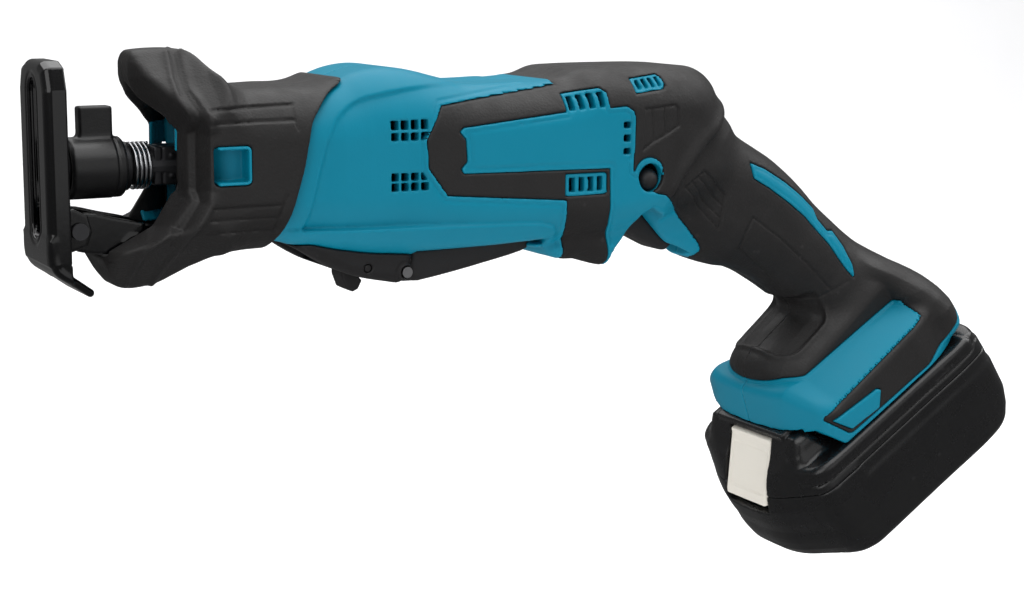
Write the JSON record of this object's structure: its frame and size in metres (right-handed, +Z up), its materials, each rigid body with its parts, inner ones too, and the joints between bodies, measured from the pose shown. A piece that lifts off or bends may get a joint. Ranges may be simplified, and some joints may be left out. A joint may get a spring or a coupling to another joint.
{
  "type": "cordless reciprocating saw",
  "caption": "Compact cordless reciprocating saw with pivoting shoe, tool-free blade clamp, rubber boot, trigger handle and slide-on battery pack.",
  "frame": {"origin": "the blade seat: the flat at the bottom of the blade slot in the plunger's nose, on the plunger axis and the mid plane", "axes": "+X back along the barrel to the handle (the blade points along -X), +Y to the tool's right, +Z up"},
  "size_m": [0.362, 0.0748, 0.1896],
  "materials": {
    "teal_plastic": "fine satin moulded plastic",
    "soft_overmold": "soft-touch elastomer, fine grain",
    "boot_rubber": "smooth moulded rubber",
    "cast_aluminium": "cast and blasted",
    "bronze": "sintered bronze",
    "seal_rubber": "nitrile",
    "bright_steel": "ground steel",
    "dark_steel": "black oxide",
    "black_plastic": "satin moulded plastic",
    "gear_steel": "hardened steel, oiled",
    "copper": "copper and varnish",
    "zinc_steel": "zinc plated",
    "magnet": "sintered ferrite",
    "carbon": "graphite",
    "gloss_black_steel": "glossy black paint",
    "trigger_plastic": "satin moulded plastic",
    "battery_plastic": "semi-gloss moulded plastic",
    "cream_plastic": "satin moulded plastic",
    "board_green": "varnished board",
    "dark_screw": "black zinc",
    "cell_wrap": "shrink sleeve"
  },
  "bodies": {
    "tool": {"housing_left": "teal_plastic", "housing_right": "teal_plastic", "grip_overmold_left": "soft_overmold", "grip_overmold_right": "soft_overmold", "front_boot": "boot_rubber", "gear_case": "cast_aluminium", "gear_case_cover": "cast_aluminium", "plunger_bush": "bronze", "plunger_seal": "seal_rubber", "front_bearing": "bright_steel", "rear_bearing": "bright_steel", "motor_can": "zinc_steel", "magnet_upper": "magnet", "magnet_lower": "magnet", "brush_plate": "black_plastic", "brush_upper": "carbon", "brush_lower": "carbon", "gear_axle": "gear_steel", "lower_cover": "black_plastic", "lever_pin": "bright_steel", "switch_module": "black_plastic", "control_module": "black_plastic", "terminal_block": "black_plastic", "housing_screw_1": "dark_screw", "housing_screw_2": "dark_screw", "housing_screw_3": "dark_screw", "housing_screw_4": "dark_screw", "housing_screw_5": "dark_screw", "housing_screw_6": "dark_screw"},
    "plunger": {"plunger": "dark_steel", "clamp_core": "dark_steel", "clamp_spring": "bright_steel"},
    "clamp_collar": {"clamp_collar": "black_plastic"},
    "armature": {"armature_shaft": "gear_steel", "armature_core": "copper", "commutator": "copper", "cooling_fan": "black_plastic"},
    "drive_gear": {"drive_gear": "gear_steel", "crank_pin": "gear_steel"},
    "shoe_arm": {"shoe_arm": "gloss_black_steel"},
    "shoe": {"shoe": "gloss_black_steel", "shoe_pivot_pin": "bright_steel"},
    "shoe_lock_lever": {"shoe_lock_lever": "black_plastic"},
    "shoe_catch": {"shoe_catch": "black_plastic"},
    "trigger": {"trigger": "trigger_plastic"},
    "lock_off_button": {"lock_off_button": "trigger_plastic"},
    "battery": {"battery_case_upper": "battery_plastic", "battery_case_lower": "battery_plastic", "terminal_board": "board_green", "cell_1": "cell_wrap", "cell_2": "cell_wrap", "cell_3": "cell_wrap", "cell_4": "cell_wrap", "cell_5": "cell_wrap", "cell_6": "cell_wrap", "cell_7": "cell_wrap", "cell_8": "cell_wrap", "cell_9": "cell_wrap", "cell_10": "cell_wrap"},
    "battery_button": {"battery_release_button": "cream_plastic"}
  },
  "joints": [
    {"name": "plunger_slide", "type": "slide", "parent": "tool", "child": "plunger", "axis": [1, 0, 0], "range_m": [0, 0.013]},
    {"name": "clamp_turn", "type": "hinge", "parent": "plunger", "child": "clamp_collar", "pos_m": [-0.016, 0, 0], "axis": [1, 0, 0], "range_deg": [0, 80], "stiffness_Nm_per_rad": 0.02},
    {"name": "armature_spin", "type": "hinge", "parent": "tool", "child": "armature", "pos_m": [0.116, 0, 0], "axis": [1, 0, 0], "continuous": true},
    {"name": "drive_gear_spin", "type": "hinge", "parent": "tool", "child": "drive_gear", "pos_m": [0.049, 0, 0], "axis": [0, 1, 0], "continuous": true},
    {"name": "shoe_arm_slide", "type": "slide", "parent": "tool", "child": "shoe_arm", "axis": [-1, 0, 0], "range_m": [0, 0.025]},
    {"name": "shoe_tilt", "type": "hinge", "parent": "shoe_arm", "child": "shoe", "pos_m": [-0.0244, 0, -0.0176], "axis": [0, 1, 0], "range_deg": [-12, 8]},
    {"name": "shoe_lever_swing", "type": "hinge", "parent": "tool", "child": "shoe_lock_lever", "pos_m": [0.081, 0, -0.0366], "axis": [0, 1, 0], "range_deg": [0, 60]},
    {"name": "shoe_catch_swing", "type": "hinge", "parent": "tool", "child": "shoe_catch", "pos_m": [0.0673, 0, -0.0344], "axis": [0, 1, 0], "range_deg": [0, 15]},
    {"name": "trigger_pull", "type": "slide", "parent": "tool", "child": "trigger", "axis": [0.6198, 0, 0.7848], "range_m": [0, 0.006]},
    {"name": "lock_off_push", "type": "slide", "parent": "tool", "child": "lock_off_button", "axis": [0, 1, 0], "range_m": [0, 0.005]},
    {"name": "battery_slide", "type": "slide", "parent": "tool", "child": "battery", "axis": [-0.8383, 0, -0.5452], "range_m": [0, 0.1]},
    {"name": "battery_button_press", "type": "slide", "parent": "battery", "child": "battery_button", "axis": [-0.0756, 0, -0.9971], "range_m": [0, 0.003]}
  ],
  "couplings": [
    {"joint": "drive_gear_spin", "follows": "armature_spin", "ratio": -0.33333}
  ]
}
